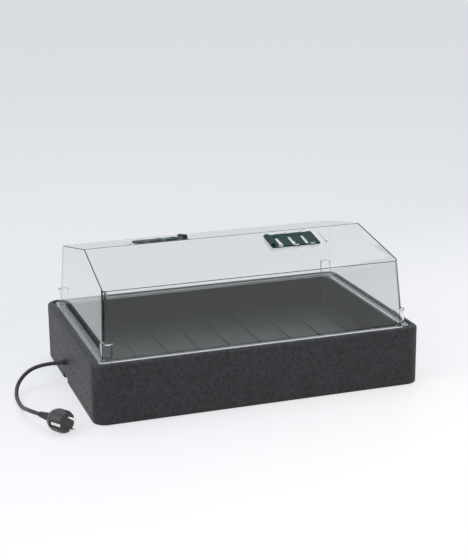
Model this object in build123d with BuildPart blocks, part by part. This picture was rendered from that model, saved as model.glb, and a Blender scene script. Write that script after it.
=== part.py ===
"""Heated propagator: a foam box with a heating mat, a hanging seed tray, a clear vented dome and a lead.

Millimetres. The origin is at the middle of the box's underside, +X runs along the length, -Y is the
front and +Z is up. The mains lead leaves the left (-X) wall.
"""
import os
from math import atan2, cos, pi, radians, sin, tan

from build123d import *

os.makedirs("parts", exist_ok=True)

# ---------------------------------------------------------------- driving dimensions
SEAT_GAP = 0.3          # left between pieces of different bodies that rest on each other
HOLE_PLAY = 0.05        # radial play of a pin, screw or cable in its hole

BOX_LENGTH = 600.0
BOX_WIDTH = 400.0
BOX_HEIGHT = 107.0
BOX_CORNER_R = 24.0
BOX_WALL = 26.0
BOX_FLOOR = 42.0
BOX_LIP = 10.0          # width of the raised outer lip of the foam wall
BOX_LEDGE_DROP = 4.6    # depth of the ledge that carries the tray, below the lip
BOX_EDGE_R = 5.0        # rounding of the lip
BOX_FOOT_R = 3.0        # rounding of the lower edge
CORE_VENT_D = 4.0       # moulding dimples in the end walls
CORE_VENT_DEPTH = 1.5
CORE_VENT_PITCH_Y = 26.0
CORE_VENT_PITCH_Z = 27.0
CORE_VENT_COLUMNS = 14
CORE_VENT_ROWS = 4
CORE_VENT_FIRST_Z = 14.0
NOTCH_LENGTH = 35.0     # finger notch in the lower edge of the left wall
NOTCH_HEIGHT = 10.0
NOTCH_DEPTH = 14.0
NOTCH_Y = 37.0

TRAY_WALL = 1.6
TRAY_EDGE_GAP = 1.0     # from the foam lip to the tray's flange
TRAY_SIDE_GAP = 2.0     # from the foam wall to the tray's wall
TRAY_BOTTOM_Z = 50.0
TRAY_CORNER_R = 18.0
TRAY_TAPER = 3.0        # degrees
TRAY_BEAD_W = 2.0
TRAY_BEAD_H = 1.4
TRAY_RIB_W = 5.0
TRAY_RIB_H = 2.5
TRAY_RIBS = 9

DOME_INSET = 23.0       # from the box's outer face to the dome's wall at its foot
DOME_WALL = 2.0
DOME_SHOULDER_Z = 223.0
DOME_RIDGE_Z = 255.0
DOME_SIDE_LEAN = 16.0   # how far the long walls lean in by the shoulder
DOME_END_LEAN = 6.6     # how far the end walls lean in by the shoulder
DOME_GABLE_LEAN = 13.3  # and by the ridge
DOME_CORNER_R = 9.0
DOME_EDGE_R = 2.5
DOME_FOOT_W = 8.0
DOME_FOOT_T = 2.0
POST_R = 11.0           # hollow corner posts at the dome's foot
POST_HEIGHT = 31.0
POST_SET_IN = 8.5

VENT_X = 111.0          # middle slot of the front vent
VENT_Y = 46.0           # middle of the slots, measured back from the ridge
SLOT_COUNT = 3
SLOT_PITCH = 25.0
SLOT_WIDTH = 8.4
SLOT_LENGTH = 38.0
SLIDER_LENGTH = 93.0
SLIDER_WIDTH = 51.0
SLIDER_THICK = 2.2
SLIDER_X_SHIFT = 1.5    # slider's middle from the middle slot, along the slope's length
SLIDER_Y_SHIFT = 3.5    # and up the slope
GRIP_WIDTH = 7.0
GRIP_HEIGHT = 7.0
GRIP_MARGIN = 5.0
CLIP_LENGTH = 8.0
CLIP_THICK = 1.8
CLIP_REACH = 2.4
CLIP_PITCH = 31.0
CLIP_PLAY = 0.4
STOP_WIDTH = 2.0
STOP_HEIGHT = 2.5
STOP_PLAY = 0.5

LEAD_D = 7.0
LEAD_Y = 30.0
LEAD_Z = 39.0
RELIEF_R = 5.5
RELIEF_TIP_R = 4.3
RELIEF_TAIL = 22.0
RELIEF_BARB_R = 6.8
RELIEF_BARB_T = 3.0

POCKET_LENGTH = 74.0
POCKET_WIDTH = 72.0
POCKET_FLOOR_Z = 12.0
SPLICE_LENGTH = 44.0
SPLICE_WIDTH = 56.0
SPLICE_WALL = 2.0
SPLICE_TOP_Z = 49.0
SPLICE_INSET = 15.0     # from the foam wall to the splice box
SPLICE_POST_R = 4.0
SCREW_R = 1.5
SCREW_HEAD_R = 2.8
SCREW_HEAD_H = 1.6
SCREW_LENGTH = 18.0
CLAMP_WIDTH = 6.0
CLAMP_SPAN = 24.0
CLAMP_THICK = 3.0
CLAMP_SET_IN = 7.0
CLAMP_SCREW_SPACING = 17.0
CLAMP_SCREW_HEAD_H = 1.2
CORE_R = 1.1
CORE_SPACING = 3.6
LEAD_END_INSIDE = 12.0
CRIMP_R = 2.1
CRIMP_LENGTH = 12.0
CRIMP_SPACING = 14.0
CRIMP_SET_IN = 24.0

MAT_MARGIN = 10.0
MAT_WIDTH = 310.0
FILM_THICK = 0.4
WIRE_D = 3.0
WIRE_ROWS = 8
WIRE_EDGE = 20.0        # from the film's long edge to the outer rows
WIRE_END = 6.0          # from the film's short edges to the rows' turns
TAIL_R = 1.2
CUTOUT_LENGTH = 12.0
CUTOUT_WIDTH = 8.0
PLATE_THICK = 1.2
PEG_R = 3.0
PEG_HEAD_R = 7.0
PEG_HEAD_H = 1.6
PEG_DEPTH = 20.0
PEG_END_INSET = 40.0

PLUG_TURN = -56.6       # heading of the plug on the floor, degrees from +X
PLUG_R = 19.4
PLUG_LENGTH = 36.0
PLUG_REAR_R = 11.0
PLUG_FACE_R = 17.5
BOOT_LENGTH = 28.0
BOOT_REAR_R = 4.6
BOOT_FRONT_R = 8.0
PIN_R = 2.4
PIN_LENGTH = 19.0
PIN_ROOT = 10.0
PIN_SPACING = 19.0
EARTH_SLOT_W = 9.0
EARTH_SLOT_DEPTH = 3.5
EARTH_SLOT_LENGTH = 22.0
EARTH_CLIP_W = 5.0
EARTH_CLIP_T = 1.2

# ---------------------------------------------------------------- places worked out from them
half_length = BOX_LENGTH / 2
half_width = BOX_WIDTH / 2
cavity_half_length = half_length - BOX_WALL
cavity_half_width = half_width - BOX_WALL
ledge_z = BOX_HEIGHT - BOX_LEDGE_DROP
flange_z = ledge_z + SEAT_GAP
flange_top_z = flange_z + TRAY_WALL
dome_foot_z = flange_top_z + SEAT_GAP
tray_length = 2 * (cavity_half_length - TRAY_SIDE_GAP)
tray_width = 2 * (cavity_half_width - TRAY_SIDE_GAP)
flange_inset = BOX_LIP + TRAY_EDGE_GAP
shoulder_half_width = half_width - DOME_INSET - DOME_SIDE_LEAN
roof_slope = atan2(DOME_RIDGE_Z - DOME_SHOULDER_Z, shoulder_half_width)
slider_top = SEAT_GAP + SLIDER_THICK
vent_travel = SLOT_PITCH / 2


def outline(inset, mode=Mode.ADD):
    """Rounded rectangle of the box's plan, set in all round, with corners on the same centres."""
    return RectangleRounded(BOX_LENGTH - 2 * inset, BOX_WIDTH - 2 * inset, BOX_CORNER_R - inset, mode=mode)


def house(shrink, bottom_z):
    """Gable-roofed solid of the dome's outline, with every face moved in by shrink."""
    foot_y = half_width - DOME_INSET - shrink
    shoulder_y = shoulder_half_width - shrink
    foot_x = half_length - DOME_INSET - shrink
    ridge_z = DOME_RIDGE_Z - shrink / cos(roof_slope)
    shoulder_z = ridge_z - shoulder_y * tan(roof_slope)
    with BuildPart() as body:
        with BuildSketch(Plane.YZ):
            with BuildLine():
                Polyline(
                    (-foot_y, bottom_z), (foot_y, bottom_z), (shoulder_y, shoulder_z),
                    (0, ridge_z), (-shoulder_y, shoulder_z), close=True,
                )
            make_face()
        extrude(amount=half_length, both=True)
        with BuildSketch(Plane.XZ):
            with BuildLine():
                Polyline(
                    (-foot_x, bottom_z), (foot_x, bottom_z), (foot_x - DOME_END_LEAN, shoulder_z),
                    (foot_x - DOME_GABLE_LEAN, ridge_z), (foot_x - DOME_GABLE_LEAN, ridge_z + 1),
                    (DOME_GABLE_LEAN - foot_x, ridge_z + 1), (DOME_GABLE_LEAN - foot_x, ridge_z),
                    (DOME_END_LEAN - foot_x, shoulder_z), close=True,
                )
            make_face()
        extrude(amount=half_width, both=True, mode=Mode.INTERSECT)
    return body.part


def vent_plane(side):
    """Plane on the roof at the middle slot: side 1 is the front slope, -1 the rear one turned half round."""
    z = DOME_RIDGE_Z - VENT_Y * tan(roof_slope)
    normal = (0, -side * sin(roof_slope), cos(roof_slope))
    return Plane(origin=(side * VENT_X, -side * VENT_Y, z), x_dir=(side, 0, 0), z_dir=normal)


def tube(path, radius):
    """Round bar swept along a path, inside the part that is being built."""
    with BuildSketch(Plane(origin=path.line @ 0, z_dir=path.line % 0)) as section:
        Circle(radius)
    sweep(section.sketch, path=path.line)


def save(builder, label):
    builder.part.label = label
    export_step(builder.part, f"parts/{label}.step")


# ---------------------------------------------------------------- foam box
pocket_x = -cavity_half_length + POCKET_LENGTH / 2
mat_x0 = -cavity_half_length + POCKET_LENGTH + MAT_MARGIN
mat_x1 = cavity_half_length - MAT_MARGIN
mat_length = mat_x1 - mat_x0
mat_x = (mat_x0 + mat_x1) / 2
wire_pitch = (MAT_WIDTH - 2 * WIRE_EDGE) / (WIRE_ROWS - 1)
peg_x = mat_length / 2 - PEG_END_INSET
peg_y = wire_pitch * (WIRE_ROWS / 2 - 1)
peg_places = [(mat_x + i * peg_x, j * peg_y) for i in (-1, 0, 1) for j in (-1, 0, 1)]

with BuildPart() as foam_base:
    with BuildSketch():
        outline(0)
    extrude(amount=BOX_HEIGHT)
    fillet(foam_base.edges().group_by(Axis.Z)[-1], BOX_EDGE_R)
    fillet(foam_base.edges().group_by(Axis.Z)[0], BOX_FOOT_R)
    with BuildSketch(Plane.XY.offset(ledge_z)):
        outline(BOX_LIP)
    extrude(amount=BOX_LEDGE_DROP + 1, mode=Mode.SUBTRACT)
    with BuildSketch(Plane.XY.offset(BOX_FLOOR)):
        RectangleRounded(2 * cavity_half_length, 2 * cavity_half_width, TRAY_CORNER_R + TRAY_SIDE_GAP)
    extrude(amount=BOX_HEIGHT, mode=Mode.SUBTRACT)
    with BuildSketch(Plane.XY.offset(POCKET_FLOOR_Z)):
        with Locations((pocket_x, LEAD_Y)):
            Rectangle(POCKET_LENGTH, POCKET_WIDTH)
    extrude(amount=BOX_FLOOR, mode=Mode.SUBTRACT)
    with BuildSketch(Plane.YZ.offset(-half_length)):
        with Locations((LEAD_Y, LEAD_Z)):
            Circle(RELIEF_R + HOLE_PLAY)
    extrude(amount=BOX_WALL, mode=Mode.SUBTRACT)
    with BuildSketch(Plane.XY.offset(BOX_FLOOR - PEG_DEPTH)):
        with Locations(*peg_places):
            Circle(PEG_R + HOLE_PLAY)
    extrude(amount=PEG_DEPTH, mode=Mode.SUBTRACT)
    with BuildSketch(Plane.YZ.offset(-half_length)):
        with Locations((NOTCH_Y, NOTCH_HEIGHT / 2)):
            Rectangle(NOTCH_LENGTH, NOTCH_HEIGHT)
    extrude(amount=NOTCH_DEPTH, mode=Mode.SUBTRACT)
    vent_grid_z = CORE_VENT_FIRST_Z + CORE_VENT_PITCH_Z * (CORE_VENT_ROWS - 1) / 2
    for end in (-1, 1):
        with BuildSketch(Plane(origin=(end * half_length, 0, vent_grid_z), x_dir=(0, 1, 0), z_dir=(end, 0, 0))):
            with GridLocations(CORE_VENT_PITCH_Y, CORE_VENT_PITCH_Z, CORE_VENT_COLUMNS, CORE_VENT_ROWS):
                Circle(CORE_VENT_D / 2)
        extrude(amount=-CORE_VENT_DEPTH, mode=Mode.SUBTRACT)
save(foam_base, "foam_base")

# ---------------------------------------------------------------- heating mat and spreader plate
lower_film_z = BOX_FLOOR
wire_z = lower_film_z + FILM_THICK + HOLE_PLAY + WIRE_D / 2
upper_film_z = wire_z + WIRE_D / 2 + HOLE_PLAY
plate_z = upper_film_z + FILM_THICK
plate_top_z = plate_z + PLATE_THICK

for film_name, film_z in (("heat_mat_lower_film", lower_film_z), ("heat_mat_upper_film", upper_film_z)):
    with BuildPart() as film:
        with BuildSketch(Plane.XY.offset(film_z)):
            with Locations((mat_x, 0)):
                Rectangle(mat_length, MAT_WIDTH)
            with Locations(*peg_places):
                Circle(PEG_R + HOLE_PLAY, mode=Mode.SUBTRACT)
        extrude(amount=FILM_THICK)
    save(film, film_name)

row_x0 = mat_x0 + WIRE_END
row_x1 = mat_x1 - WIRE_END
row_y0 = -wire_pitch * (WIRE_ROWS - 1) / 2
wire_points = []
for row in range(WIRE_ROWS):
    ends = (row_x0, row_x1) if row % 2 == 0 else (row_x1, row_x0)
    wire_points += [(x, row_y0 + row * wire_pitch, wire_z) for x in ends]
wire_points[0] = (row_x0 + CUTOUT_LENGTH, row_y0, wire_z)

with BuildPart() as heating_wire:
    with BuildLine() as wire_path:
        FilletPolyline(*wire_points, radius=wire_pitch * 0.45)
    tube(wire_path, WIRE_D / 2)
save(heating_wire, "heating_wire")

with BuildPart() as thermal_cutout:
    with BuildSketch(Plane.XY.offset(wire_z - WIRE_D / 2)):
        with Locations((row_x0 + CUTOUT_LENGTH / 2, row_y0)):
            Rectangle(CUTOUT_LENGTH, CUTOUT_WIDTH)
    extrude(amount=WIRE_D)
    fillet(thermal_cutout.edges().filter_by(Axis.Z), 1)
save(thermal_cutout, "thermal_cutout")

with BuildPart() as heat_spreader_plate:
    with BuildSketch(Plane.XY.offset(plate_z)):
        with Locations((mat_x, 0)):
            RectangleRounded(mat_length, MAT_WIDTH, BOX_EDGE_R)
        with Locations(*peg_places):
            Circle(PEG_R + HOLE_PLAY, mode=Mode.SUBTRACT)
    extrude(amount=PLATE_THICK)
save(heat_spreader_plate, "heat_spreader_plate")

with BuildPart() as plate_pegs:
    with BuildSketch(Plane.XY.offset(plate_top_z)):
        with Locations(*peg_places):
            Circle(PEG_HEAD_R)
    extrude(amount=PEG_HEAD_H)
    fillet(plate_pegs.edges().group_by(Axis.Z)[-1], PEG_HEAD_H / 2)
    with BuildSketch(Plane.XY.offset(BOX_FLOOR - PEG_DEPTH)):
        with Locations(*peg_places):
            Circle(PEG_R)
    extrude(amount=plate_top_z - BOX_FLOOR + PEG_DEPTH)
save(plate_pegs, "plate_pegs")

# ---------------------------------------------------------------- splice box in its pocket
splice_x0 = -cavity_half_length + SPLICE_INSET
splice_x = splice_x0 + SPLICE_LENGTH / 2
splice_x1 = splice_x0 + SPLICE_LENGTH
post_x = SPLICE_LENGTH / 2 - SPLICE_WALL - SPLICE_POST_R / 2
post_y = SPLICE_WIDTH / 2 - SPLICE_WALL - SPLICE_POST_R / 2
screw_places = [(splice_x + i * post_x, LEAD_Y + j * post_y) for i in (-1, 1) for j in (-1, 1)]
clamp_x = splice_x0 + CLAMP_SET_IN
clamp_places = [(clamp_x, LEAD_Y + j * CLAMP_SCREW_SPACING / 2) for j in (-1, 1)]
tail_ys = [LEAD_Y - CRIMP_SPACING / 2, LEAD_Y + CRIMP_SPACING / 2]
lead_r = LEAD_D / 2

with BuildPart() as splice_box_base:
    with BuildSketch(Plane.XY.offset(POCKET_FLOOR_Z)):
        with Locations((splice_x, LEAD_Y)):
            RectangleRounded(SPLICE_LENGTH, SPLICE_WIDTH, SPLICE_WALL)
    extrude(amount=LEAD_Z - POCKET_FLOOR_Z)
    with BuildSketch(Plane.XY.offset(POCKET_FLOOR_Z + SPLICE_WALL)):
        with Locations((splice_x, LEAD_Y)):
            Rectangle(SPLICE_LENGTH - 2 * SPLICE_WALL, SPLICE_WIDTH - 2 * SPLICE_WALL)
        with Locations(*screw_places):
            Circle(SPLICE_POST_R, mode=Mode.SUBTRACT)
        with Locations(*clamp_places):
            Circle(SPLICE_POST_R, mode=Mode.SUBTRACT)
    extrude(amount=LEAD_Z, mode=Mode.SUBTRACT)
    with BuildSketch(Plane.XY.offset(LEAD_Z)):
        with Locations(*screw_places, *clamp_places):
            Circle(SCREW_R + HOLE_PLAY)
    extrude(amount=-SCREW_LENGTH, mode=Mode.SUBTRACT)
    with BuildSketch(Plane.YZ.offset(splice_x0)):
        with Locations((LEAD_Y, LEAD_Z)):
            Circle(lead_r + HOLE_PLAY)
    extrude(amount=LEAD_END_INSIDE, mode=Mode.SUBTRACT)
save(splice_box_base, "splice_box_base")

with BuildPart() as splice_box_cover:
    with BuildSketch(Plane.XY.offset(LEAD_Z)):
        with Locations((splice_x, LEAD_Y)):
            RectangleRounded(SPLICE_LENGTH, SPLICE_WIDTH, SPLICE_WALL)
    extrude(amount=SPLICE_TOP_Z - LEAD_Z)
    with BuildSketch(Plane.XY.offset(LEAD_Z)):
        with Locations((splice_x, LEAD_Y)):
            Rectangle(SPLICE_LENGTH - 2 * SPLICE_WALL, SPLICE_WIDTH - 2 * SPLICE_WALL)
        with Locations(*screw_places):
            Circle(SPLICE_POST_R, mode=Mode.SUBTRACT)
    extrude(amount=SPLICE_TOP_Z - LEAD_Z - SPLICE_WALL, mode=Mode.SUBTRACT)
    with Locations(*[(x, y, SPLICE_TOP_Z) for x, y in screw_places]):
        CounterBoreHole(SCREW_R + HOLE_PLAY, SCREW_HEAD_R + HOLE_PLAY, SCREW_HEAD_H)
    with BuildSketch(Plane.YZ.offset(splice_x0)):
        with Locations((LEAD_Y, LEAD_Z)):
            Circle(lead_r + HOLE_PLAY)
    extrude(amount=SPLICE_WALL, mode=Mode.SUBTRACT)
    with BuildSketch(Plane.YZ.offset(splice_x1)):
        with Locations(*[(y, wire_z) for y in tail_ys]):
            Circle(TAIL_R + HOLE_PLAY)
    extrude(amount=-SPLICE_WALL, mode=Mode.SUBTRACT)
save(splice_box_cover, "splice_box_cover")

clamp_z = LEAD_Z + lead_r + HOLE_PLAY
screw_sets = (
    ("splice_box_screws", screw_places, SPLICE_TOP_Z - SCREW_HEAD_H, SCREW_HEAD_H),
    ("cord_clamp_screws", clamp_places, clamp_z + CLAMP_THICK, CLAMP_SCREW_HEAD_H),
)
for screw_name, places, seat_z, head_h in screw_sets:
    with BuildPart() as screws:
        with BuildSketch(Plane.XY.offset(seat_z)):
            with Locations(*places):
                Circle(SCREW_HEAD_R)
        extrude(amount=head_h)
        with BuildSketch(Plane.XY.offset(seat_z)):
            with Locations(*places):
                Circle(SCREW_R)
        extrude(amount=-SCREW_LENGTH)
    save(screws, screw_name)

with BuildPart() as cord_clamp:
    with BuildSketch(Plane.XY.offset(clamp_z)):
        with Locations((clamp_x, LEAD_Y)):
            RectangleRounded(CLAMP_WIDTH, CLAMP_SPAN, 1)
        with Locations(*clamp_places):
            Circle(SCREW_R + HOLE_PLAY, mode=Mode.SUBTRACT)
    extrude(amount=CLAMP_THICK)
save(cord_clamp, "cord_clamp")

with BuildPart() as crimp_sleeves:
    crimp_x0 = splice_x0 + CRIMP_SET_IN
    with BuildSketch(Plane.YZ.offset(crimp_x0)):
        with Locations(*[(y, wire_z) for y in tail_ys]):
            Circle(CRIMP_R)
    extrude(amount=CRIMP_LENGTH)
    chamfer(crimp_sleeves.edges(), 0.4)
save(crimp_sleeves, "crimp_sleeves")

lead_end_x = splice_x0 + LEAD_END_INSIDE
with BuildPart() as lead_cores:
    for side, tail_y in zip((-1, 1), tail_ys):
        start = (lead_end_x + CORE_R / 2, LEAD_Y + side * CORE_SPACING / 2, LEAD_Z)
        with BuildLine() as core_path:
            Line(start, (crimp_x0 - CORE_R, tail_y, wire_z))
        tube(core_path, CORE_R)
save(lead_cores, "lead_cores")

with BuildPart() as mat_tails:
    tail_turn_x = -cavity_half_length + POCKET_LENGTH + WIRE_D
    for side, tail_y in zip((-1, 1), tail_ys):
        with BuildLine() as tail_path:
            FilletPolyline(
                (crimp_x0 + CRIMP_LENGTH, tail_y, wire_z), (tail_turn_x, tail_y, wire_z),
                (tail_turn_x, -side * row_y0, wire_z), (row_x0, -side * row_y0, wire_z), radius=6,
            )
        tube(tail_path, TAIL_R)
save(mat_tails, "mat_tails")

# ---------------------------------------------------------------- strain relief and lead
relief_tip_x = -half_length - RELIEF_TAIL
with BuildPart() as strain_relief:
    with BuildSketch(Plane.XZ.offset(-LEAD_Y)):
        with BuildLine():
            Polyline(
                (relief_tip_x, LEAD_Z + lead_r + HOLE_PLAY), (relief_tip_x, LEAD_Z + RELIEF_TIP_R),
                (-half_length, LEAD_Z + RELIEF_R), (-cavity_half_length, LEAD_Z + RELIEF_R),
                (-cavity_half_length, LEAD_Z + RELIEF_BARB_R),
                (-cavity_half_length + RELIEF_BARB_T, LEAD_Z + RELIEF_R),
                (-cavity_half_length + RELIEF_BARB_T, LEAD_Z + lead_r + HOLE_PLAY), close=True,
            )
        make_face()
    revolve(axis=Axis((0, LEAD_Y, LEAD_Z), (1, 0, 0)))
save(strain_relief, "strain_relief")

with BuildPart() as inner_lead:
    with BuildSketch(Plane.YZ.offset(relief_tip_x)):
        with Locations((LEAD_Y, LEAD_Z)):
            Circle(lead_r)
    extrude(amount=lead_end_x - relief_tip_x)
save(inner_lead, "inner_lead")

plug_dir = Vector(cos(radians(PLUG_TURN)), sin(radians(PLUG_TURN)), 0)
plug_z = PLUG_R + 0.1
cord_points = [
    (relief_tip_x, LEAD_Y, LEAD_Z), (-343, LEAD_Y, LEAD_Z), (-370, 25, 33), (-392.5, 8, 18),
    (-401, -19, 5.5), (-402, -52, 3.8), (-401, -86, 6.5), (-399, -114, 14.5),
]
boot_end = Vector(-384.3, -155.6, plug_z)
cord_points += [tuple(boot_end - plug_dir * 18), tuple(boot_end)]

cord_vectors = [Vector(*point) for point in cord_points]
cord_runs = [b - a for a, b in zip(cord_vectors, cord_vectors[1:])]
cord_radii = []
for run_in, run_out in zip(cord_runs, cord_runs[1:]):
    half_turn = radians(run_in.get_angle(run_out)) / 2
    cord_radii.append(0.45 * min(run_in.length, run_out.length) / tan(half_turn))
print("cord radii", [round(radius, 1) for radius in cord_radii])
print("cord runs", [round(run.length, 1) for run in cord_runs])

with BuildPart() as power_cord:
    with BuildLine() as cord_path:
        FilletPolyline(*cord_points, radius=cord_radii)
    tube(cord_path, lead_r)
cord_length = sum(edge.length for edge in cord_path.edges())
cord_section = pi * lead_r ** 2
print("cord length", round(cord_length, 1), "volume ratio", power_cord.part.volume / (cord_section * cord_length))
save(power_cord, "power_cord")

# ---------------------------------------------------------------- plug
boot_plane = Plane(origin=boot_end, x_dir=(0, 0, 1), z_dir=plug_dir)
body_plane = boot_plane.offset(BOOT_LENGTH)
face_plane = body_plane.offset(PLUG_LENGTH)
boot_section = Plane(origin=boot_end, x_dir=(0, 0, 1), z_dir=Vector(0, 0, 1).cross(plug_dir))
plug_axis = Axis(tuple(boot_end), tuple(plug_dir))
along = -1 if boot_section.y_dir.dot(plug_dir) < 0 else 1

with BuildPart() as plug_boot:
    with BuildSketch(boot_section):
        with BuildLine():
            Polyline(
                (0, 0), (BOOT_REAR_R, 0), (BOOT_FRONT_R, along * BOOT_LENGTH), (0, along * BOOT_LENGTH),
                close=True,
            )
        make_face()
    revolve(axis=plug_axis)
save(plug_boot, "plug_boot")

with BuildPart() as plug_body:
    with BuildSketch(boot_section):
        with BuildLine():
            rear = along * BOOT_LENGTH
            face = along * (BOOT_LENGTH + PLUG_LENGTH)
            waist = rear + along * PLUG_LENGTH * 0.55
            Line((0, rear), (PLUG_REAR_R, rear))
            ThreePointArc((PLUG_REAR_R, rear), (PLUG_R - 1.8, rear + along * 8.5), (PLUG_R, waist))
            Line((PLUG_R, waist), (PLUG_R, face - along * 5))
            Line((PLUG_R, face - along * 5), (PLUG_FACE_R, face))
            Line((PLUG_FACE_R, face), (0, face))
            Line((0, face), (0, rear))
        make_face()
    revolve(axis=plug_axis)
    with BuildSketch(face_plane):
        with Locations((-PIN_SPACING / 2, 0), (PIN_SPACING / 2, 0)):
            Circle(PIN_R + HOLE_PLAY)
    extrude(amount=-PIN_ROOT, mode=Mode.SUBTRACT)
    with BuildSketch(face_plane):
        with Locations((0, PLUG_R), (0, -PLUG_R)):
            Rectangle(EARTH_SLOT_W, 2 * EARTH_SLOT_DEPTH)
    extrude(amount=-EARTH_SLOT_LENGTH, mode=Mode.SUBTRACT)
save(plug_body, "plug_body")

for pin_name, side in (("plug_pin_live", 1), ("plug_pin_neutral", -1)):
    with BuildPart() as pin:
        with BuildSketch(face_plane.offset(-PIN_ROOT)):
            with Locations((side * PIN_SPACING / 2, 0)):
                Circle(PIN_R)
        extrude(amount=PIN_ROOT + PIN_LENGTH)
        fillet(pin.edges().sort_by(plug_axis)[-1], PIN_R * 0.6)
    save(pin, pin_name)

with BuildPart() as earth_clips:
    clip_y = PLUG_R - EARTH_SLOT_DEPTH + EARTH_CLIP_T / 2
    with BuildSketch(face_plane):
        with Locations((0, clip_y), (0, -clip_y)):
            Rectangle(EARTH_CLIP_W, EARTH_CLIP_T)
    extrude(amount=-EARTH_SLOT_LENGTH)
save(earth_clips, "earth_clips")

# ---------------------------------------------------------------- seed tray
tray_depth = flange_top_z - TRAY_BOTTOM_Z
with BuildPart() as planting_tray:
    with BuildSketch(Plane.XY.offset(flange_top_z)):
        RectangleRounded(tray_length, tray_width, TRAY_CORNER_R)
    extrude(amount=-tray_depth, taper=TRAY_TAPER)
    with BuildSketch(Plane.XY.offset(flange_z)):
        outline(flange_inset)
    extrude(amount=TRAY_WALL)
    with BuildSketch(Plane.XY.offset(flange_top_z)):
        outline(flange_inset)
        outline(flange_inset + TRAY_BEAD_W, mode=Mode.SUBTRACT)
    extrude(amount=TRAY_BEAD_H)
    with BuildSketch(Plane.XY.offset(flange_top_z)):
        RectangleRounded(
            tray_length - 2 * TRAY_WALL, tray_width - 2 * TRAY_WALL, TRAY_CORNER_R - TRAY_WALL
        )
    extrude(amount=-(tray_depth - TRAY_WALL), taper=TRAY_TAPER, mode=Mode.SUBTRACT)
    tray_floor_length = tray_length - 2 * (TRAY_WALL + tray_depth * tan(radians(TRAY_TAPER)))
    tray_floor_width = tray_width - 2 * (TRAY_WALL + tray_depth * tan(radians(TRAY_TAPER)))
    with BuildSketch(Plane.XY.offset(TRAY_BOTTOM_Z + TRAY_WALL)):
        with GridLocations(tray_floor_length / TRAY_RIBS, 1, TRAY_RIBS, 1):
            SlotOverall(tray_floor_width * 0.9, TRAY_RIB_W, rotation=90)
    extrude(amount=TRAY_RIB_H)
save(planting_tray, "planting_tray")

# ---------------------------------------------------------------- clear dome
with BuildPart() as dome:
    add(house(0, dome_foot_z))
    upright = [e for e in dome.edges() if abs(e.tangent_at(0.5).Z) > 0.9 and e.length > 50]
    fillet(upright, DOME_CORNER_R)
    post_x = half_length - DOME_INSET - POST_SET_IN
    post_y = half_width - DOME_INSET - POST_SET_IN
    with BuildSketch(Plane.XY.offset(dome_foot_z)):
        with GridLocations(2 * post_x, 2 * post_y, 2, 2):
            Circle(POST_R)
    extrude(amount=POST_HEIGHT)
    with BuildSketch(Plane.XY.offset(dome_foot_z)):
        outline(DOME_INSET - DOME_FOOT_W)
    extrude(amount=DOME_FOOT_T)
    add(house(DOME_WALL, dome_foot_z - 1), mode=Mode.SUBTRACT)
    with BuildSketch(Plane.XY.offset(dome_foot_z)):
        with GridLocations(2 * post_x, 2 * post_y, 2, 2):
            Circle(POST_R - DOME_WALL)
    extrude(amount=POST_HEIGHT - DOME_WALL, mode=Mode.SUBTRACT)
    for side in (1, -1):
        vent = vent_plane(side)
        slider_plane = vent.shift_origin(vent.from_local_coords(Vector(SLIDER_X_SHIFT, SLIDER_Y_SHIFT, 0)))
        with BuildSketch(vent):
            with GridLocations(SLOT_PITCH, 1, SLOT_COUNT, 1):
                Rectangle(SLOT_WIDTH, SLOT_LENGTH)
        extrude(amount=DOME_WALL * 2, both=True, mode=Mode.SUBTRACT)
        clip_y = SLIDER_WIDTH / 2 + CLIP_PLAY + CLIP_THICK / 2
        with BuildSketch(slider_plane.offset(-DOME_WALL / 2)):
            with GridLocations(CLIP_PITCH, 2 * clip_y, 3, 2):
                Rectangle(CLIP_LENGTH, CLIP_THICK)
        extrude(amount=DOME_WALL / 2 + slider_top + SEAT_GAP + CLIP_THICK)
        lip_y = clip_y + CLIP_THICK / 2 - (CLIP_REACH + CLIP_THICK) / 2
        with BuildSketch(slider_plane.offset(slider_top + SEAT_GAP)):
            with GridLocations(CLIP_PITCH, 2 * lip_y, 3, 2):
                Rectangle(CLIP_LENGTH, CLIP_REACH + CLIP_THICK)
        extrude(amount=CLIP_THICK)
        stop_x = SLIDER_LENGTH / 2 + vent_travel + STOP_PLAY + STOP_WIDTH / 2
        with BuildSketch(slider_plane.offset(-DOME_WALL / 2)):
            with Locations((stop_x, 0)):
                Rectangle(STOP_WIDTH, SLIDER_WIDTH * 0.8)
        extrude(amount=DOME_WALL / 2 + STOP_HEIGHT)
save(dome, "dome")

for slider_name, side in (("vent_slider_front", 1), ("vent_slider_rear", -1)):
    vent = vent_plane(side)
    slider_plane = vent.shift_origin(vent.from_local_coords(Vector(SLIDER_X_SHIFT, SLIDER_Y_SHIFT, 0)))
    with BuildPart() as slider:
        with BuildSketch(slider_plane.offset(SEAT_GAP)):
            RectangleRounded(SLIDER_LENGTH, SLIDER_WIDTH, 2)
        extrude(amount=SLIDER_THICK)
        with BuildSketch(vent.offset(SEAT_GAP)):
            with GridLocations(SLOT_PITCH, 1, SLOT_COUNT, 1):
                Rectangle(SLOT_WIDTH, SLOT_LENGTH)
        extrude(amount=SLIDER_THICK, mode=Mode.SUBTRACT)
        with BuildSketch(slider_plane.offset(slider_top)):
            with Locations((-(SLIDER_LENGTH - GRIP_WIDTH) / 2, 0)):
                Rectangle(GRIP_WIDTH, SLIDER_WIDTH - 2 * GRIP_MARGIN)
        extrude(amount=GRIP_HEIGHT - SLIDER_THICK)
        fillet(slider.faces().sort_by(Axis.Z)[-1].edges(), 1)
    save(slider, slider_name)
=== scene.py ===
"""Looks of a heated propagator: moulded foam box, seed tray, clear vented dome, heating mat, lead and plug.

Laid out as an add-on with one operator for each group of pieces. Everything is in metres, in the CAD frame:
+X runs along the length, -Y is the front, +Z is up, and the lead leaves the left (-X) wall.
"""
from math import cos, pi, radians, sin

import bpy
from bpy.props import FloatProperty, FloatVectorProperty, IntProperty, PointerProperty
from mathutils import Matrix, Vector


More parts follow.
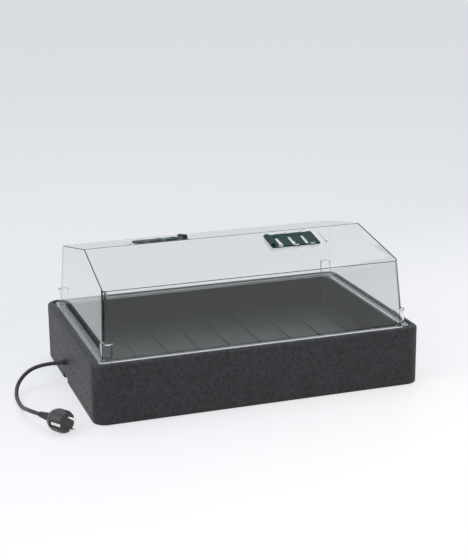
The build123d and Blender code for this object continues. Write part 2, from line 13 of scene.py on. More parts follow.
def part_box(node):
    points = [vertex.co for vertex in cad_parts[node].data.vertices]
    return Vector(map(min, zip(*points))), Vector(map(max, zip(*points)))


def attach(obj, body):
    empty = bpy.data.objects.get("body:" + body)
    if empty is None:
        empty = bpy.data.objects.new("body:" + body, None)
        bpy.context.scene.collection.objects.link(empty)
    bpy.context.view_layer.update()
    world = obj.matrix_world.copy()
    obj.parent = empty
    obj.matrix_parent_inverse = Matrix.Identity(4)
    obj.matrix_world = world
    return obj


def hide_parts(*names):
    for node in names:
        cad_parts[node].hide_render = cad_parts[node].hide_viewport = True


bl_info = {
    "name": "Heated Propagator Looks",
    "version": (1, 0, 0),
    "blender": (4, 5, 0),
    "location": "3D View > Sidebar > Propagator",
    "description": "Finishes a heated propagator: foam box, tray, vented dome, heating mat, lead and plug",
    "category": "Object",
}

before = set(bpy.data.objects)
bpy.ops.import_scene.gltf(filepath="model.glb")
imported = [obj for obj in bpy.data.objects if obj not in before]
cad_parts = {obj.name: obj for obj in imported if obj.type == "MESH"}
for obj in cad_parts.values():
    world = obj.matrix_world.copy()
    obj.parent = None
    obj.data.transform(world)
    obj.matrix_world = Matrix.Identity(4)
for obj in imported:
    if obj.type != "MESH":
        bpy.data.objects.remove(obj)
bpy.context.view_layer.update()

MM = 0.001
PLUG_HEADING = radians(-56.6)   # the way that the pins point, turned from +X
BOOT_LENGTH = 28 * MM
BOOT_RADII = (8.0 * MM, 4.6 * MM)      # at the plug, at the lead
BOOT_COLLAR = 5 * MM
RELIEF_TAIL = 22 * MM           # what stands outside the wall
RELIEF_RADII = (5.5 * MM, 4.3 * MM)    # at the wall, at the tip
RELIEF_COLLAR = 4 * MM
RELIEF_CHAMFER = (0.5 * MM, 1 * MM)    # depth and length of the bevel on the shank's inner end
CORD_SIDES = 6                  # rings of the curve's bevel
CORD_STEPS = 12                 # points along each of the curve's segments
TURNED_SIDES = 40
SMOOTH_ANGLE = radians(35)

TONE_SPREAD = 0.25              # share by which plastic's colour strays either way
FLOOR_SIZE = 60.0
FLOOR_DROP = 0.4 * MM           # how far the floor lies under the box
FLOOR_GLOW = 0.62               # share of the floor's seen colour that glows as painted light, which no shadow darkens
# Painted light: the floor's glow fades from the far colour to the near colour.
FLOOR_FAR_COLOUR = (0.80, 0.825, 0.87, 1.0)
FLOOR_NEAR_COLOUR = (1.14, 1.14, 1.15, 1.0)
FLOOR_BLEND = (-0.55, 0.55)     # where the far colour ends and the near colour begins, along the slant
FLOOR_SLANT = 0.45              # how much the blend turns towards +X
SKY_LIGHT = (0.97, 0.98, 1.0, 1.0)
SKY_BACKDROP = (0.88, 0.90, 0.93, 1.0)
LAMP_TARGET = (0, 0, 0.1)
# Name, place, size and the setting that holds the power.
LAMPS = (
    ("key_lamp", (-2.6, -0.6, 1.9), 2.2, "key_power"),
    ("fill_lamp", (2.4, -2.4, 1.6), 2.4, "fill_power"),
    ("top_lamp", (0.2, 0.6, 2.9), 2.6, "top_power"),
)
CAMERA_PLACE = (-0.7413, -2.2379, 0.8608)
CAMERA_YAW, CAMERA_PITCH, CAMERA_ROLL = radians(-18.675), radians(16.314), radians(-0.642)
SENSOR_WIDTH = 36.0


# ---------------------------------------------------------------- settings
def length_property(name, description, default, smallest=0.0001, largest=2.0):
    return FloatProperty(
        name=name, description=description, default=default, min=smallest, max=largest,
        subtype="DISTANCE", unit="LENGTH", precision=4,
    )


def colour_property(name, description, default):
    return FloatVectorProperty(
        name=name, description=description, default=default, size=3, min=0.0, max=1.0, subtype="COLOR",
    )


class PropagatorSizes(bpy.types.PropertyGroup):
    """Sizes of the details that are modelled here."""

    lead_diameter: length_property("Lead diameter", "Outer diameter of the mains lead", 7 * MM)
    bead_size: length_property("Bead size", "Size of a foam bead in the box's surface", 4.5 * MM)
    hollow_reach: length_property("Hollow reach", "How near foam must be to foam to look shadowed", 4 * MM)
    boot_ribs: IntProperty(name="Boot ribs", description="Rings round the plug's boot", default=5, min=2, max=12)
    relief_ribs: IntProperty(
        name="Relief ribs", description="Rings round the strain relief's tail", default=4, min=2, max=12
    )
    rib_depth: length_property("Rib depth", "Depth of the grooves between the rings", 0.7 * MM)


class PropagatorColours(bpy.types.PropertyGroup):
    """Colours of the finishes."""

    foam: colour_property("Foam", "Expanded foam of the box", (0.019, 0.0195, 0.022))
    foam_worn: colour_property("Foam bead edges", "Rubbed edges of the beads", (0.050, 0.051, 0.056))
    tray: colour_property("Tray", "Moulded seed tray", (0.007, 0.014, 0.012))
    vent: colour_property("Vents", "Sliders in the roof", (0.003, 0.030, 0.022))
    dome: colour_property("Dome", "Tint of the clear dome", (0.93, 0.935, 0.94))
    rubber: colour_property("Rubber", "Lead, boot and strain relief", (0.018, 0.018, 0.020))
    plug: colour_property("Plug", "Moulded plug body", (0.024, 0.024, 0.026))
    metal: colour_property("Plated metal", "Pins, earth clips and screws", (0.78, 0.77, 0.74))
    aluminium: colour_property("Aluminium", "Heat spreader plate", (0.74, 0.75, 0.76))
    brass: colour_property("Brass", "Crimp sleeves", (0.72, 0.55, 0.26))
    film: colour_property("Film", "Heating mat film", (0.62, 0.30, 0.07))
    wire: colour_property("Wire", "Heating wire and its tails", (0.50, 0.06, 0.04))
    core: colour_property("Cores", "Insulation of the lead's cores", (0.05, 0.16, 0.42))
    ivory: colour_property("Ivory plastic", "Splice box and thermal cutout", (0.74, 0.73, 0.68))
    peg: colour_property("Peg plastic", "Pegs and the cord clamp", (0.06, 0.06, 0.065))
    floor: colour_property("Floor", "Table and backdrop", (0.80, 0.81, 0.83))


class StageSettings(bpy.types.PropertyGroup):
    """Lamps and camera."""

    key_power: FloatProperty(name="Key lamp", description="Power of the left lamp", default=44.0, unit="POWER")
    fill_power: FloatProperty(name="Fill lamp", description="Power of the right lamp", default=10.0, unit="POWER")
    top_power: FloatProperty(name="Top lamp", description="Power of the top lamp", default=26.0, unit="POWER")
    sky: FloatProperty(name="Sky", description="Strength of the even light", default=0.55, min=0.0, max=2.0)
    lens: FloatProperty(name="Lens", description="Focal length in millimetres", default=85.8, min=20.0, max=200.0)


# ---------------------------------------------------------------- shared node groups
def new_group(name, inputs, outputs):
    """Shader node group with named float, colour or vector sockets; returns the group and its two ends."""
    group = bpy.data.node_groups.new(name, "ShaderNodeTree")
    for socket, kind, value in inputs:
        made = group.interface.new_socket(name=socket, in_out="INPUT", socket_type=kind)
        if value is not None:
            made.default_value = value
    for socket, kind in outputs:
        group.interface.new_socket(name=socket, in_out="OUTPUT", socket_type=kind)
    return group, group.nodes.new("NodeGroupInput"), group.nodes.new("NodeGroupOutput")


def math_node(nodes, operation, *values):
    node = nodes.new("ShaderNodeMath")
    node.operation = operation
    for socket, value in zip(node.inputs, values):
        socket.default_value = value
    return node


def ramp(nodes, *stops):
    """Colour ramp with stops of (position, grey)."""
    node = nodes.new("ShaderNodeValToRGB")
    elements = node.color_ramp.elements
    while len(elements) < len(stops):
        elements.new(0.5)
    for element, (position, grey) in zip(elements, stops):
        element.position = position
        element.color = (grey, grey, grey, 1.0)
    return node


def foam_bead_group():
    """Fused beads: a height with soft domes and thin seams, and a tone that differs from bead to bead."""
    group, start, end = new_group(
        "Foam beads",
        [("Bead scale", "NodeSocketFloat", 220.0)],
        [("Height", "NodeSocketFloat"), ("Tone", "NodeSocketFloat"), ("Seam", "NodeSocketFloat")],
    )
    nodes, links = group.nodes, group.links
    place = nodes.new("ShaderNodeTexCoord")
    # A little noise bends the beads' straight outlines.
    warp = nodes.new("ShaderNodeTexNoise")
    warp.inputs["Scale"].default_value = 90.0
    bent = nodes.new("ShaderNodeVectorMath")
    bent.operation = "MULTIPLY_ADD"
    bent.inputs[1].default_value = (2.2 * MM,) * 3
    links.new(place.outputs["Object"], warp.inputs["Vector"])
    links.new(warp.outputs["Color"], bent.inputs[0])
    links.new(place.outputs["Object"], bent.inputs[2])
    cells = nodes.new("ShaderNodeTexVoronoi")
    edges = nodes.new("ShaderNodeTexVoronoi")
    edges.feature = "DISTANCE_TO_EDGE"
    for voronoi in (cells, edges):
        links.new(bent.outputs[0], voronoi.inputs["Vector"])
        links.new(start.outputs["Bead scale"], voronoi.inputs["Scale"])
    seam = ramp(nodes, (0.0, 1.0), (0.09, 0.0))
    dome = ramp(nodes, (0.0, 0.0), (0.10, 0.7), (0.35, 1.0))
    for shape in (seam, dome):
        links.new(edges.outputs["Distance"], shape.inputs["Fac"])
    tone = nodes.new("ShaderNodeSeparateColor")
    links.new(cells.outputs["Color"], tone.inputs["Color"])
    links.new(dome.outputs["Color"], end.inputs["Height"])
    links.new(tone.outputs["Red"], end.inputs["Tone"])
    links.new(seam.outputs["Color"], end.inputs["Seam"])
    return group


def grain_group():
    """Fine moulded grain with broad, faint handling marks."""
    group, start, end = new_group(
        "Moulded grain",
        [("Grain scale", "NodeSocketFloat", 1500.0), ("Mark scale", "NodeSocketFloat", 14.0)],
        [("Height", "NodeSocketFloat"), ("Marks", "NodeSocketFloat")],
    )
    nodes, links = group.nodes, group.links
    place = nodes.new("ShaderNodeTexCoord")
    grain = nodes.new("ShaderNodeTexNoise")
    grain.inputs["Detail"].default_value = 4.0
    marks = nodes.new("ShaderNodeTexNoise")
    marks.inputs["Detail"].default_value = 6.0
    marks.inputs["Roughness"].default_value = 0.7
    for noise, scale in ((grain, "Grain scale"), (marks, "Mark scale")):
        links.new(place.outputs["Object"], noise.inputs["Vector"])
        links.new(start.outputs[scale], noise.inputs["Scale"])
    links.new(grain.outputs["Fac"], end.inputs["Height"])
    links.new(marks.outputs["Fac"], end.inputs["Marks"])
    return group


def brushed_group():
    """Long fine lines along X with a slow change of tone, as on rolled or brushed metal."""
    group, start, end = new_group(
        "Rolled metal",
        [("Line scale", "NodeSocketFloat", 900.0)],
        [("Height", "NodeSocketFloat"), ("Tone", "NodeSocketFloat")],
    )
    nodes, links = group.nodes, group.links
    place = nodes.new("ShaderNodeTexCoord")
    stretch = nodes.new("ShaderNodeMapping")
    stretch.inputs["Scale"].default_value = (0.02, 1.0, 1.0)
    lines = nodes.new("ShaderNodeTexNoise")
    tone = nodes.new("ShaderNodeTexNoise")
    tone.inputs["Scale"].default_value = 9.0
    links.new(place.outputs["Object"], stretch.inputs["Vector"])
    links.new(stretch.outputs["Vector"], lines.inputs["Vector"])
    links.new(place.outputs["Object"], tone.inputs["Vector"])
    links.new(start.outputs["Line scale"], lines.inputs["Scale"])
    links.new(lines.outputs["Fac"], end.inputs["Height"])
    links.new(tone.outputs["Fac"], end.inputs["Tone"])
    return group


def shared_group(name, build):
    """The named node group, built the first time that it is asked for."""
    return bpy.data.node_groups.get(name) or build()


# ---------------------------------------------------------------- materials
def new_material(name):
    material = bpy.data.materials.new(name)
    material.use_nodes = True
    nodes = material.node_tree.nodes
    return material, nodes, material.node_tree.links, nodes["Principled BSDF"]


def place_group(nodes, name, build, **values):
    node = nodes.new("ShaderNodeGroup")
    node.node_tree = shared_group(name, build)
    for socket, value in values.items():
        node.inputs[socket.replace("_", " ")].default_value = value
    return node


def mix_colours(nodes, links, factor, first, second):
    """Mix of two colours by a socket."""
    node = nodes.new("ShaderNodeMix")
    node.data_type = "RGBA"
    node.inputs["A"].default_value = (*first, 1.0)
    node.inputs["B"].default_value = (*second, 1.0)
    links.new(factor, node.inputs["Factor"])
    return node.outputs["Result"]


def add_bump(nodes, links, bsdf, height, strength, distance):
    bump = nodes.new("ShaderNodeBump")
    bump.inputs["Strength"].default_value = strength
    bump.inputs["Distance"].default_value = distance
    links.new(height, bump.inputs["Height"])
    links.new(bump.outputs["Normal"], bsdf.inputs["Normal"])


def roughness_range(nodes, links, bsdf, source, low, high):
    spread = nodes.new("ShaderNodeMapRange")
    spread.inputs["To Min"].default_value = low
    spread.inputs["To Max"].default_value = high
    links.new(source, spread.inputs["Value"])
    links.new(spread.outputs["Result"], bsdf.inputs["Roughness"])


def shade(colour, factor):
    return tuple(min(1.0, channel * factor) for channel in colour)


def painted_hollow_shade(nodes, links, colour, reach):
    """Painted shade: the colour, darkened by an ambient-occlusion mask in dimples, grooves and inner corners of
    the same piece.
    """
    hollows = nodes.new("ShaderNodeAmbientOcclusion")
    hollows.only_local = True
    hollows.samples = 8
    hollows.inputs["Distance"].default_value = reach
    shadowed = ramp(nodes, (0.25, 0.08), (0.85, 1.0))
    links.new(hollows.outputs["AO"], shadowed.inputs["Fac"])
    darker = nodes.new("ShaderNodeMix")
    darker.data_type = "RGBA"
    darker.blend_type = "MULTIPLY"
    darker.inputs["Factor"].default_value = 1.0
    links.new(colour, darker.inputs["A"])
    links.new(shadowed.outputs["Color"], darker.inputs["B"])
    return darker.outputs["Result"]


def foam_material(colours, sizes):
    """Black bead foam: fused beads with rubbed seams, painted shade in the hollows and a soft skin sheen."""
    material, nodes, links, bsdf = new_material("black_bead_foam")
    beads = place_group(nodes, "Foam beads", foam_bead_group, Bead_scale=1.0 / sizes.bead_size)
    grain = place_group(nodes, "Moulded grain", grain_group, Grain_scale=2200.0, Mark_scale=9.0)
    bead_colour = mix_colours(
        nodes, links, beads.outputs["Tone"], shade(colours.foam, 0.5), shade(colours.foam, 1.6)
    )
    # The seams are rubbed pale where the handling marks are strong.
    worn = math_node(nodes, "MULTIPLY", 0.0, 0.0)
    links.new(beads.outputs["Seam"], worn.inputs[0])
    links.new(grain.outputs["Marks"], worn.inputs[1])
    rubbed = nodes.new("ShaderNodeMix")
    rubbed.data_type = "RGBA"
    rubbed.inputs["B"].default_value = (*colours.foam_worn, 1.0)
    links.new(bead_colour, rubbed.inputs["A"])
    links.new(worn.outputs[0], rubbed.inputs["Factor"])
    # Painted shade: the foam's colour is darkened in its hollows.
    colour = painted_hollow_shade(nodes, links, rubbed.outputs["Result"], sizes.hollow_reach)
    links.new(colour, bsdf.inputs["Base Color"])
    roughness_range(nodes, links, bsdf, grain.outputs["Marks"], 0.46, 0.62)
    # Beads give the height, with a little grain on top.
    height = math_node(nodes, "MULTIPLY_ADD", 0.0, 0.12, 0.0)
    links.new(grain.outputs["Height"], height.inputs[0])
    links.new(beads.outputs["Height"], height.inputs[2])
    add_bump(nodes, links, bsdf, height.outputs[0], 0.22, 0.5 * MM)
    bsdf.inputs["Specular IOR Level"].default_value = 0.34
    return material


def plastic_material(name, colour, low=0.3, high=0.5, bump=0.08, grain=1500.0, specular=0.5):
    """Moulded plastic or rubber with fine grain, handling marks and slight changes of tone.

    low and high are the ends of its roughness.
    """
    material, nodes, links, bsdf = new_material(name)
    texture = place_group(nodes, "Moulded grain", grain_group, Grain_scale=grain, Mark_scale=14.0)
    toned = mix_colours(
        nodes, links, texture.outputs["Marks"],
        shade(colour, 1.0 - TONE_SPREAD), shade(colour, 1.0 + TONE_SPREAD),
    )
    links.new(toned, bsdf.inputs["Base Color"])
    roughness_range(nodes, links, bsdf, texture.outputs["Marks"], low, high)
    add_bump(nodes, links, bsdf, texture.outputs["Height"], bump, 0.2 * MM)
    bsdf.inputs["Specular IOR Level"].default_value = specular
    return material


def metal_material(name, colour, low=0.18, high=0.34):
    """Plated or rolled metal with fine lines along X; low and high are the ends of its roughness."""
    material, nodes, links, bsdf = new_material(name)
    texture = place_group(nodes, "Rolled metal", brushed_group, Line_scale=900.0)
    toned = mix_colours(nodes, links, texture.outputs["Tone"], shade(colour, 0.86), shade(colour, 1.1))
    links.new(toned, bsdf.inputs["Base Color"])
    bsdf.inputs["Metallic"].default_value = 1.0
    roughness_range(nodes, links, bsdf, texture.outputs["Height"], low, high)
    add_bump(nodes, links, bsdf, texture.outputs["Height"], 0.12, 0.1 * MM)
    return material


def clear_material(name, colour):
    """Clear polystyrene: thin real walls that refract, let lamp light through and pick up faint smears."""
    material, nodes, links, bsdf = new_material(name)
    texture = place_group(nodes, "Moulded grain", grain_group, Grain_scale=40.0, Mark_scale=7.0)
    toned = mix_colours(nodes, links, texture.outputs["Marks"], shade(colour, 0.985), shade(colour, 1.015))
    links.new(toned, bsdf.inputs["Base Color"])
    roughness_range(nodes, links, bsdf, texture.outputs["Marks"], 0.018, 0.048)
    add_bump(nodes, links, bsdf, texture.outputs["Height"], 0.02, 0.6 * MM)
    bsdf.inputs["IOR"].default_value = 1.45
    bsdf.inputs["Transmission Weight"].default_value = 1.0
    # Lamp light and bounced light go straight through; what is looked through refracts.
    path = nodes.new("ShaderNodeLightPath")
    through = math_node(nodes, "MAXIMUM", 0.0, 0.0)
    links.new(path.outputs["Is Shadow Ray"], through.inputs[0])
    links.new(path.outputs["Is Diffuse Ray"], through.inputs[1])
    clear = nodes.new("ShaderNodeBsdfTransparent")
    clear.inputs["Color"].default_value = (*shade(colour, 0.97), 1.0)
    mixed = nodes.new("ShaderNodeMixShader")
    links.new(through.outputs[0], mixed.inputs["Fac"])
    links.new(bsdf.outputs["BSDF"], mixed.inputs[1])
    links.new(clear.outputs["BSDF"], mixed.inputs[2])
    links.new(mixed.outputs["Shader"], nodes["Material Output"].inputs["Surface"])
    return material


def seen_rays(nodes, links):
    """1 for rays that look at a surface, straight on, in a reflection or through glass, and 0 for light."""
    path = nodes.new("ShaderNodeLightPath")
    seen = math_node(nodes, "MAXIMUM", 0.0, 0.0)
    through = math_node(nodes, "MAXIMUM", 0.0, 0.0)
    links.new(path.outputs["Is Camera Ray"], seen.inputs[0])
    links.new(path.outputs["Is Transmission Ray"], seen.inputs[1])
    links.new(seen.outputs[0], through.inputs[0])
    links.new(path.outputs["Is Glossy Ray"], through.inputs[1])
    return through.outputs[0]


def floor_material(colour):
    """Pale floor that keeps its shadows, with a painted glow of light that fades from white near the front to
    cool grey at the back.
    """
    material, nodes, links, bsdf = new_material("pale_floor")
    bsdf.inputs["Base Color"].default_value = (*colour, 1.0)
    bsdf.inputs["Roughness"].default_value = 0.45
    place = nodes.new("ShaderNodeTexCoord")
    split = nodes.new("ShaderNodeSeparateXYZ")
    nearness = math_node(nodes, "MULTIPLY", 0.0, -1.0)
    slant = math_node(nodes, "MULTIPLY_ADD", 0.0, FLOOR_SLANT, 0.0)
    blend = nodes.new("ShaderNodeMapRange")
    blend.inputs["From Min"].default_value, blend.inputs["From Max"].default_value = FLOOR_BLEND
    links.new(place.outputs["Object"], split.inputs["Vector"])
    links.new(split.outputs["Y"], nearness.inputs[0])
    links.new(split.outputs["X"], slant.inputs[0])
    links.new(nearness.outputs[0], slant.inputs[2])
    links.new(slant.outputs[0], blend.inputs["Value"])
    painted_light_fade = nodes.new("ShaderNodeMix")
    painted_light_fade.data_type = "RGBA"
    painted_light_fade.clamp_result = False
    painted_light_fade.inputs["A"].default_value = FLOOR_FAR_COLOUR
    painted_light_fade.inputs["B"].default_value = FLOOR_NEAR_COLOUR
    links.new(blend.outputs["Result"], painted_light_fade.inputs["Factor"])
    # Painted light: what is seen of the floor glows, brighter near the front and towards +X.
    glow = nodes.new("ShaderNodeEmission")
    links.new(painted_light_fade.outputs["Result"], glow.inputs["Color"])
    share = math_node(nodes, "MULTIPLY", 0.0, FLOOR_GLOW)
    links.new(seen_rays(nodes, links), share.inputs[0])
    mixed = nodes.new("ShaderNodeMixShader")
    links.new(share.outputs[0], mixed.inputs["Fac"])
    links.new(bsdf.outputs["BSDF"], mixed.inputs[1])
    links.new(glow.outputs["Emission"], mixed.inputs[2])
    links.new(mixed.outputs["Shader"], nodes["Material Output"].inputs["Surface"])
    return material


def finish_nodes(material, *names):
    """Gives CAD nodes their finish."""
    for name in names:
        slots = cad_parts[name].data.materials
        slots.clear()
        slots.append(material)


# ---------------------------------------------------------------- modelling helpers
def deselect_all():
    if bpy.context.object and bpy.context.object.mode != "OBJECT":
        bpy.ops.object.mode_set(mode="OBJECT")
    bpy.ops.object.select_all(action="DESELECT")


def make_turned(name, rings, matrix, material, body):
    """Closed turned piece: a disc extruded ring by ring along +Z, then put in place by a matrix.

    rings holds (height, radius) pairs from the first face to the last.
    """
    deselect_all()
    height, radius = rings[0]
    bpy.ops.mesh.primitive_circle_add(
        vertices=TURNED_SIDES, radius=radius, fill_type="NGON", location=(0, 0, height)
    )
    piece = bpy.context.object
    piece.name = name
    bpy.ops.object.mode_set(mode="EDIT")
    bpy.ops.mesh.select_all(action="SELECT")
    for next_height, next_radius in rings[1:]:
        bpy.ops.mesh.extrude_region_move(
            TRANSFORM_OT_translate={"value": (0, 0, next_height - height)}
        )
        scale = next_radius / radius
        bpy.ops.transform.resize(value=(scale, scale, 1.0), center_override=(0, 0, next_height))
        height, radius = next_height, next_radius
    bpy.ops.mesh.select_all(action="SELECT")
    bpy.ops.mesh.normals_make_consistent(inside=False)
    bpy.ops.object.mode_set(mode="OBJECT")
    return place_piece(piece, matrix, material, body)


def place_piece(piece, matrix, material, body):
    """Puts the place of a finished piece into its mesh, smooths it, and ties it to its CAD body."""
    piece.matrix_world = matrix @ piece.matrix_world
    bpy.context.view_layer.update()
    bpy.ops.object.transform_apply(location=True, rotation=True, scale=True)
    bpy.ops.object.shade_smooth_by_angle(angle=SMOOTH_ANGLE)
    piece.data.materials.append(material)
    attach(piece, body)
    return piece


def axis_matrix(origin, direction):
    """Matrix that takes +Z to a direction, at an origin."""
    return Matrix.Translation(origin) @ Vector(direction).to_track_quat("Z", "Y").to_matrix().to_4x4()


def ribbed_taper(radii, length, ribs, depth, collar):
    """Rings of a tapered sleeve with grooves: a plain collar at the thick end, ribs towards the thin end."""
    start_radius, end_radius = radii

    def radius_at(height):
        return start_radius + (end_radius - start_radius) * height / length

    rings = [(0.0, radius_at(0.0) - depth), (depth, radius_at(0.0)), (collar, radius_at(collar))]
    pitch = (length - collar) / ribs
    for rib in range(ribs):
        low = collar + rib * pitch
        # Down into the groove, along its floor, up, and along the rib, as shares of the pitch.
        for share, sunk in ((0.12, True), (0.42, True), (0.54, False), (0.9, False)):
            height = low + share * pitch
            rings.append((height, radius_at(height) - (depth if sunk else 0.0)))
    rings.append((length, radius_at(length) - 0.5 * depth))
    return rings


# ---------------------------------------------------------------- operators
class BuildStep:
    """What the operators share: the sizes and colours of the scene."""

    bl_options = {"REGISTER", "UNDO"}

    @property
    def sizes(self):
        return bpy.context.scene.propagator_sizes

    @property
    def colours(self):
        return bpy.context.scene.propagator_colours


class PROPAGATOR_OT_foam_box(BuildStep, bpy.types.Operator):
    """Finish the moulded bead foam box"""

    bl_idname = "propagator.foam_box"
    bl_label = "Foam Box"

    def execute(self, context):
        finish_nodes(foam_material(self.colours, self.sizes), "foam_base")
        return {"FINISHED"}


class PROPAGATOR_OT_tray(BuildStep, bpy.types.Operator):
    """Finish the seed tray"""

    bl_idname = "propagator.tray"
    bl_label = "Seed Tray"

    def execute(self, context):
        tray = plastic_material(
            "tray_green_plastic", self.colours.tray, low=0.3, high=0.42, bump=0.008, grain=500.0, specular=0.28
        )
        finish_nodes(tray, "planting_tray")
        return {"FINISHED"}


class PROPAGATOR_OT_dome(BuildStep, bpy.types.Operator):
    """Finish the clear dome"""

    bl_idname = "propagator.dome"
    bl_label = "Clear Dome"

    def execute(self, context):
        finish_nodes(clear_material("clear_polystyrene", self.colours.dome), "dome")
        return {"FINISHED"}


class PROPAGATOR_OT_vents(BuildStep, bpy.types.Operator):
    """Finish the two vent sliders"""

    bl_idname = "propagator.vents"
    bl_label = "Vent Sliders"

    def execute(self, context):
        green = plastic_material(
            "vent_green_plastic", self.colours.vent, low=0.42, high=0.56, bump=0.02, specular=0.15
        )
        finish_nodes(green, "vent_slider_front", "vent_slider_rear")
        return {"FINISHED"}


class PROPAGATOR_OT_heating(BuildStep, bpy.types.Operator):
    """Finish the heating mat, its plate and its pegs"""

    bl_idname = "propagator.heating"
    bl_label = "Heating Mat"

    def execute(self, context):
        colours = self.colours
        film = plastic_material("heating_film", colours.film, low=0.2, high=0.35, grain=400.0)
        finish_nodes(film, "heat_mat_lower_film", "heat_mat_upper_film")
        finish_nodes(plastic_material("silicone_wire", colours.wire), "heating_wire", "mat_tails")
        aluminium = metal_material("rolled_aluminium", colours.aluminium, low=0.28, high=0.45)
        finish_nodes(aluminium, "heat_spreader_plate")
        finish_nodes(plastic_material("peg_plastic", colours.peg), "plate_pegs", "cord_clamp")
        finish_nodes(plastic_material("cutout_plastic", colours.ivory), "thermal_cutout")
        return {"FINISHED"}


class PROPAGATOR_OT_splice_box(BuildStep, bpy.types.Operator):
    """Finish the splice box and what it holds"""

    bl_idname = "propagator.splice_box"
    bl_label = "Splice Box"

    def execute(self, context):
        colours = self.colours
        ivory = plastic_material("splice_box_plastic", colours.ivory, low=0.35, high=0.5, bump=0.2)
        finish_nodes(ivory, "splice_box_base", "splice_box_cover")
        finish_nodes(metal_material("plated_screws", colours.metal), "splice_box_screws", "cord_clamp_screws")
        finish_nodes(metal_material("brass_crimps", colours.brass), "crimp_sleeves")
        finish_nodes(plastic_material("core_insulation", colours.core), "lead_cores")
        return {"FINISHED"}


class PROPAGATOR_OT_lead(BuildStep, bpy.types.Operator):
    """Model the mains lead, its strain relief and the plug's boot, and finish the plug"""

    bl_idname = "propagator.lead"
    bl_label = "Lead and Plug"

    # Control points of the lead's smooth curve, in millimetres, from the strain relief towards the boot.
    ROUTE = (
        (-322, 30, 39), (-343, 30, 39), (-370, 25, 33), (-392.5, 8, 18), (-401, -19, 5.5),
        (-402, -52, 3.8), (-401, -86, 6.5), (-399, -114, 14.5),
    )
    BOOT_END = (-384.3, -155.6, 19.5)
    LAST_RUN = 18.0     # straight into the boot

    def execute(self, context):
        sizes, colours = self.sizes, self.colours
        rubber = plastic_material("lead_rubber", colours.rubber, low=0.38, high=0.55, bump=0.1, grain=2500.0)
        heading = Vector((cos(PLUG_HEADING), sin(PLUG_HEADING), 0.0))
        boot_end = Vector(self.BOOT_END) * MM
        route = [Vector(point) * MM for point in self.ROUTE]
        route += [boot_end - heading * self.LAST_RUN * MM, boot_end]
        lead = self.lead(route, sizes, rubber)
        boot = self.boot(boot_end, heading, sizes, rubber)
        relief = self.relief(route[0], sizes, rubber)
        plug = plastic_material("plug_plastic", colours.plug, low=0.3, high=0.46, bump=0.12)
        metal = metal_material("nickel_plate", colours.metal, low=0.12, high=0.24)
        finish_nodes(plug, "plug_body")
        finish_nodes(metal, "plug_pin_live", "plug_pin_neutral", "earth_clips")
        finish_nodes(rubber, "inner_lead")
        return {"FINISHED"}

    def lead(self, route, sizes, rubber):
        """The lead as one smooth curve of real thickness."""
        curve = bpy.data.curves.new("mains_lead", "CURVE")
        curve.dimensions = "3D"
        spline = curve.splines.new("NURBS")
        spline.points.add(len(route) - 1)
        for point, place in zip(spline.points, route):
            point.co = (*place, 1.0)
        spline.order_u = 3
        spline.use_endpoint_u = True
        spline.resolution_u = CORD_STEPS
        curve.bevel_depth = sizes.lead_diameter / 2
        curve.bevel_resolution = CORD_SIDES
        curve.use_fill_caps = True
        lead = bpy.data.objects.new("mains_lead", curve)
        bpy.context.scene.collection.objects.link(lead)
        curve.materials.append(rubber)
        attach(lead, "base")
        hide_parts("power_cord")
        return lead

    def boot(self, boot_end, heading, sizes, rubber):
        """Ribbed boot that tapers from the plug's body to the lead."""
        rings = ribbed_taper(BOOT_RADII, BOOT_LENGTH, sizes.boot_ribs, sizes.rib_depth, BOOT_COLLAR)
        matrix = axis_matrix(boot_end + heading * BOOT_LENGTH, -heading)
        boot = make_turned("ribbed_plug_boot", rings, matrix, rubber, "base")
        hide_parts("plug_boot")
        return boot

    def relief(self, tip, sizes, rubber):
        """Ribbed strain relief: a shank through the foam wall and a tail that tapers along the lead."""
        low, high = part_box("strain_relief")
        wall_x = low.x + RELIEF_TAIL
        shank = high.x - wall_x
        shank_radius = RELIEF_RADII[0]
        bevel, bevel_length = RELIEF_CHAMFER
        tail = ribbed_taper(RELIEF_RADII, RELIEF_TAIL, sizes.relief_ribs, sizes.rib_depth, RELIEF_COLLAR)
        rings = [(-shank, shank_radius - bevel), (-shank + bevel_length, shank_radius)]
        rings += [(-0.5 * MM, shank_radius)] + tail[1:]
        relief = make_turned(
            "ribbed_strain_relief", rings, axis_matrix((wall_x, tip.y, tip.z), (-1, 0, 0)), rubber, "base"
        )
        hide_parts("strain_relief")
        return relief


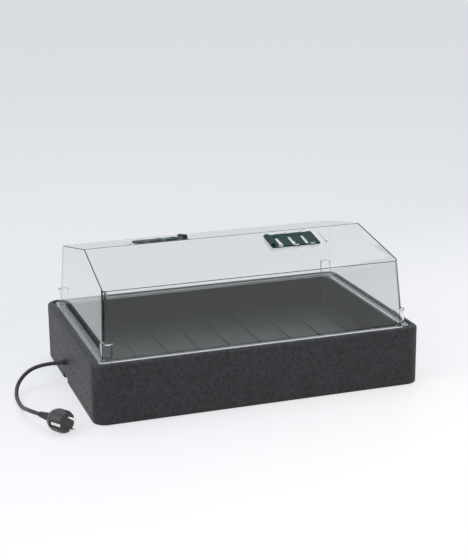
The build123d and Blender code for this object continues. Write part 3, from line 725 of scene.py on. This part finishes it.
class PROPAGATOR_OT_stage(BuildStep, bpy.types.Operator):
    """Set the pale floor, the soft lamps, the even sky and the camera"""

    bl_idname = "propagator.stage"
    bl_label = "Stage"

    def execute(self, context):
        stage = context.scene.propagator_stage
        self.floor()
        self.sky(context.scene, stage)
        for name, place, size, power in LAMPS:
            self.lamp(name, place, size, getattr(stage, power))
        self.camera(context.scene, stage)
        context.scene.view_settings.view_transform = "Standard"
        return {"FINISHED"}

    def floor(self):
        deselect_all()
        bpy.ops.mesh.primitive_plane_add(size=FLOOR_SIZE, location=(0, 0, -FLOOR_DROP))
        floor = bpy.context.object
        floor.name = "floor"
        bpy.ops.object.transform_apply(location=True)
        floor.data.materials.append(floor_material(self.colours.floor))

    def sky(self, scene, stage):
        """Even light; what the camera sees of it is the pale backdrop."""
        world = scene.world or bpy.data.worlds.new("backdrop")
        scene.world = world
        world.use_nodes = True
        nodes, links = world.node_tree.nodes, world.node_tree.links
        nodes.clear()
        light = nodes.new("ShaderNodeBackground")
        light.inputs["Color"].default_value = SKY_LIGHT
        light.inputs["Strength"].default_value = stage.sky
        backdrop = nodes.new("ShaderNodeBackground")
        backdrop.inputs["Color"].default_value = SKY_BACKDROP
        mixed = nodes.new("ShaderNodeMixShader")
        output = nodes.new("ShaderNodeOutputWorld")
        links.new(seen_rays(nodes, links), mixed.inputs["Fac"])
        links.new(light.outputs["Background"], mixed.inputs[1])
        links.new(backdrop.outputs["Background"], mixed.inputs[2])
        links.new(mixed.outputs["Shader"], output.inputs["Surface"])

    def lamp(self, name, place, size, power):
        """Soft square lamp that faces the object."""
        light = bpy.data.lights.new(name, "AREA")
        light.size = size
        light.energy = power
        lamp = bpy.data.objects.new(name, light)
        bpy.context.scene.collection.objects.link(lamp)
        lamp.location = place
        lamp.rotation_euler = (Vector(LAMP_TARGET) - Vector(place)).to_track_quat("-Z", "Y").to_euler()

    def camera(self, scene, stage):
        """Camera a little to the left of the front, looking down."""
        camera = bpy.data.objects.new("camera", bpy.data.cameras.new("camera"))
        scene.collection.objects.link(camera)
        camera.data.lens = stage.lens
        camera.data.sensor_width = SENSOR_WIDTH
        camera.data.clip_start = 0.05
        turn = Matrix.Rotation(CAMERA_YAW, 4, "Z") @ Matrix.Rotation(pi / 2 - CAMERA_PITCH, 4, "X")
        turn = turn @ Matrix.Rotation(CAMERA_ROLL, 4, "Z")
        camera.matrix_world = Matrix.Translation(CAMERA_PLACE) @ turn
        scene.camera = camera


# ---------------------------------------------------------------- panel and registration
class PROPAGATOR_PT_panel(bpy.types.Panel):
    """Lists the settings and the operators."""

    bl_label = "Heated Propagator"
    bl_idname = "PROPAGATOR_PT_panel"
    bl_space_type = "VIEW_3D"
    bl_region_type = "UI"
    bl_category = "Propagator"

    def draw(self, context):
        layout = self.layout
        scene = context.scene
        for group in (scene.propagator_sizes, scene.propagator_colours, scene.propagator_stage):
            box = layout.box()
            for name in group.__annotations__:
                box.prop(group, name)
        for operator in OPERATORS:
            layout.operator(operator.bl_idname)


OPERATORS = (
    PROPAGATOR_OT_foam_box,
    PROPAGATOR_OT_tray,
    PROPAGATOR_OT_dome,
    PROPAGATOR_OT_vents,
    PROPAGATOR_OT_heating,
    PROPAGATOR_OT_splice_box,
    PROPAGATOR_OT_lead,
    PROPAGATOR_OT_stage,
)
CLASSES = (PropagatorSizes, PropagatorColours, StageSettings, *OPERATORS, PROPAGATOR_PT_panel)


def register():
    for cls in CLASSES:
        bpy.utils.register_class(cls)
    bpy.types.Scene.propagator_sizes = PointerProperty(type=PropagatorSizes)
    bpy.types.Scene.propagator_colours = PointerProperty(type=PropagatorColours)
    bpy.types.Scene.propagator_stage = PointerProperty(type=StageSettings)


def unregister():
    del bpy.types.Scene.propagator_stage
    del bpy.types.Scene.propagator_colours
    del bpy.types.Scene.propagator_sizes
    for cls in reversed(CLASSES):
        bpy.utils.unregister_class(cls)


def main():
    register()
    for operator in OPERATORS:
        group, name = operator.bl_idname.split(".")
        getattr(getattr(bpy.ops, group), name)()


if __name__ == "__main__":
    main()
